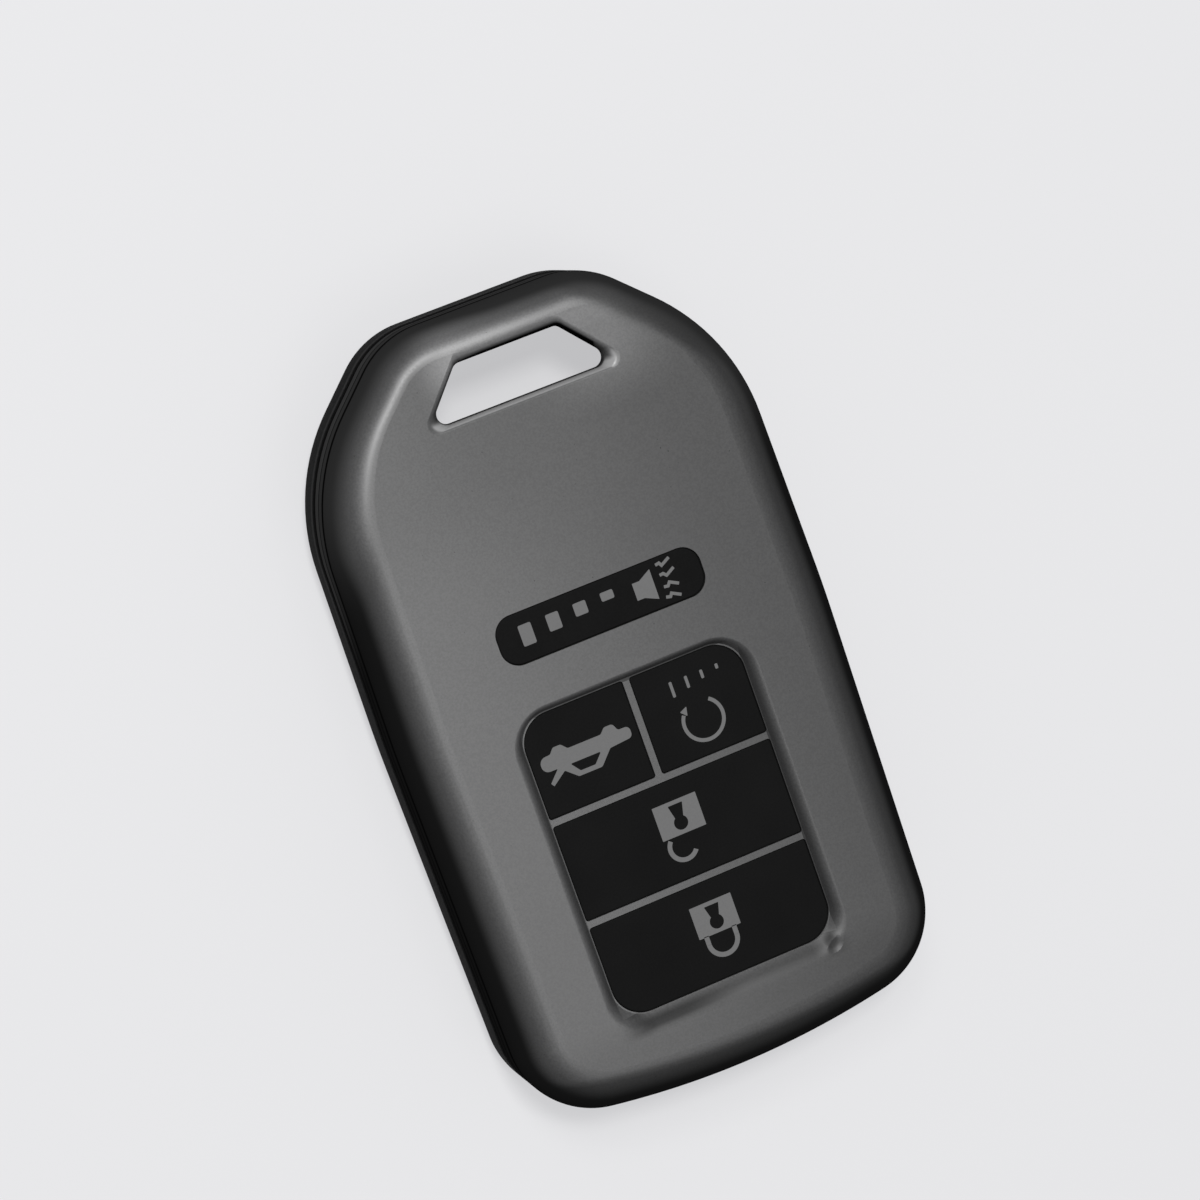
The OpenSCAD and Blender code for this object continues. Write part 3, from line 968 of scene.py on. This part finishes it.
def black_shell():
    """Near-black plastic, a little lighter inside and on the far walls, so that the walls at the
    left and the keyring end carry painted shade.
    """
    finish = Finish("satin_black_plastic", IOR=1.5, Specular_IOR_Level=0.02, Coat_Roughness=0.38)
    grain = finish.noise(4000, 3.0)
    along, height = finish.axis("Y"), finish.axis("Z")
    # Painted light: the rim band is lighter towards the keyring end
    rim = finish.mix(finish.fade(along, 8, 20), grey(0.006), grey(0.02))
    wall = finish.mix(finish.noise(120), grey(0.003), grey(0.005))
    wall = finish.mix(finish.fade(height, 6.4, 6.7), wall, rim)
    wall = finish.mix(finish.fade(height, 7.1, 7.3), wall, grey(0.002))
    inside = finish.attribute("inner_side")
    # The walls at the left and at the keyring end stay darker than the far walls: painted shade
    open_side = inside.over(finish.attribute("far_side"))
    finish.set(
        Base_Color=finish.mix(open_side, wall, finish.mix(inside, grey(0.011), grey(0.035))),
        Roughness=finish.fade(grain, 0.3, 0.7, 0.6, 0.7),
        Coat_Weight=open_side * 0.35,
        Normal=finish.bump(grain, 0.2, 0.03 * MM),
    )
    return finish


def soft_rubber(name, level, scale, gloss=0.0):
    finish = Finish(name, IOR=1.45, Specular_IOR_Level=gloss)
    grain = finish.noise(scale, 3.0)
    finish.set(
        Base_Color=finish.mix(finish.noise(150), grey(level * 0.75), grey(level * 1.25)),
        Roughness=finish.fade(grain, 0.3, 0.7, 0.62, 0.78),
        Normal=finish.bump(grain, 0.25, 0.04 * MM),
    )
    return finish


def frame_rubber():
    """The soft frame's rubber, whose band has painted light towards the keyring end."""
    finish = soft_rubber("soft_frame_rubber", 0.04, 3500)
    band = finish.mix(finish.fade(finish.axis("Y"), 8, 20), grey(0.008), grey(0.038))
    inside = finish.mix(finish.noise(150), grey(0.03), grey(0.045))
    finish.set(Base_Color=finish.mix(finish.attribute("inner_side"), band, inside))
    return finish


def printed_grey():
    finish = Finish("grey_print", IOR=1.45, Specular_IOR_Level=0.2)
    grain = finish.noise(6000)
    finish.set(
        Base_Color=finish.mix(grain, grey(0.13), grey(0.165)),
        Roughness=finish.fade(grain, 0.3, 0.7, 0.55, 0.7),
    )
    return finish


CoverPaint().finished().on(front_cover)
black_shell().on(rear_cover)
frame_rubber().on(soft_frame)
soft_rubber("mat_rubber", 0.03, 2500).on(key_mat)
soft_rubber("key_rubber", 0.0065, 5000, 0.06).on(*buttons.values())
ink = printed_grey()
for printed in signs.values():
    ink.on(*printed)

# Bodies
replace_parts(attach(front_cover, "front"), "front_shell")
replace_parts(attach(rear_cover, "rear"), "rear_shell")
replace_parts(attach(soft_frame, "rear"), "inner_frame")
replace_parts(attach(key_mat, "front"), "keypad_mat")
for name, button in buttons.items():
    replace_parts(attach(button, name), name + "_key")
    for printed in signs[name]:
        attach(printed, name)
        polish(printed)


# Floor, light and camera, in metres
def floor_paper():
    """Pale paper that glows in part where it is seen or mirrored, and so keeps its shadow."""
    paper = Finish("floor_paper", Roughness=0.9)
    paper.set(Base_Color=paper.mix(paper.noise(8), grey(0.78), grey(0.82)))
    glow = paper.node("ShaderNodeEmission", None, {"Color": (0.79, 0.79, 0.81, 1.0)})
    seen = 0.0
    for kind in ("Is Camera Ray", "Is Glossy Ray", "Is Transmission Ray"):
        seen = paper.node("ShaderNodeLightPath", out=kind) + seen
    surface = Val(paper, paper.shader.outputs[0])
    blend = paper.node("ShaderNodeMixShader", None, {0: seen * 0.66, 1: surface, 2: glow})
    paper.put(paper.tree.nodes["Material Output"].inputs["Surface"], blend)
    return paper


mode("OBJECT")
ops.object.select_all(action="DESELECT")
ops.mesh.primitive_plane_add(size=4.0, location=(0, 0, 0))
floor = bpy.context.object
floor.name = "studio_floor"
floor_paper().on(floor)

world = bpy.data.worlds.new("studio")
scene.world = world
world.use_nodes = True
background = world.node_tree.nodes["Background"]
background.inputs["Color"].default_value = (0.9, 0.9, 0.92, 1.0)
background.inputs["Strength"].default_value = 0.36


def softbox(name, place, size, power):
    """A square lamp that faces the cover."""
    light = bpy.data.lights.new(name, "AREA")
    light.shape = "SQUARE"
    light.size = size
    light.energy = power
    lamp = bpy.data.objects.new(name, light)
    scene.collection.objects.link(lamp)
    lamp.location = place
    lamp.rotation_euler = (-Vector(place)).to_track_quat("-Z", "Y").to_euler()


softbox("main_softbox", (-0.065, 0.235, 0.73), 0.1, 2.9)
softbox("upper_softbox", (-0.12, 0.36, 0.68), 0.16, 1.2)
softbox("fill_softbox", (0.04, -0.187, 0.72), 0.3, 0.6)

# The camera's place in millimetres, its turns in radians and its focal length in photo pixels
CAMERA_PLACE = Vector((-79.704, 71.749, 365.022))
CAMERA_TURNS = ((0.34171, "Z"), (0.17355, "X"), (0.22542, "Y"))
FOCAL_PIXELS, PHOTO_PIXELS = 3890.76, 1200
SENSOR = 36.0

turn = Matrix.Identity(3)
for angle, axis in CAMERA_TURNS:
    turn = turn @ Matrix.Rotation(angle, 3, axis)
camera_data = bpy.data.cameras.new("camera")
camera_data.sensor_fit = "HORIZONTAL"
camera_data.sensor_width = SENSOR
camera_data.lens = SENSOR * FOCAL_PIXELS / PHOTO_PIXELS
camera_data.clip_start = 0.01
camera = bpy.data.objects.new("camera", camera_data)
scene.collection.objects.link(camera)
camera.matrix_world = Matrix.Translation(CAMERA_PLACE * MM) @ turn.transposed().to_4x4()
scene.camera = camera
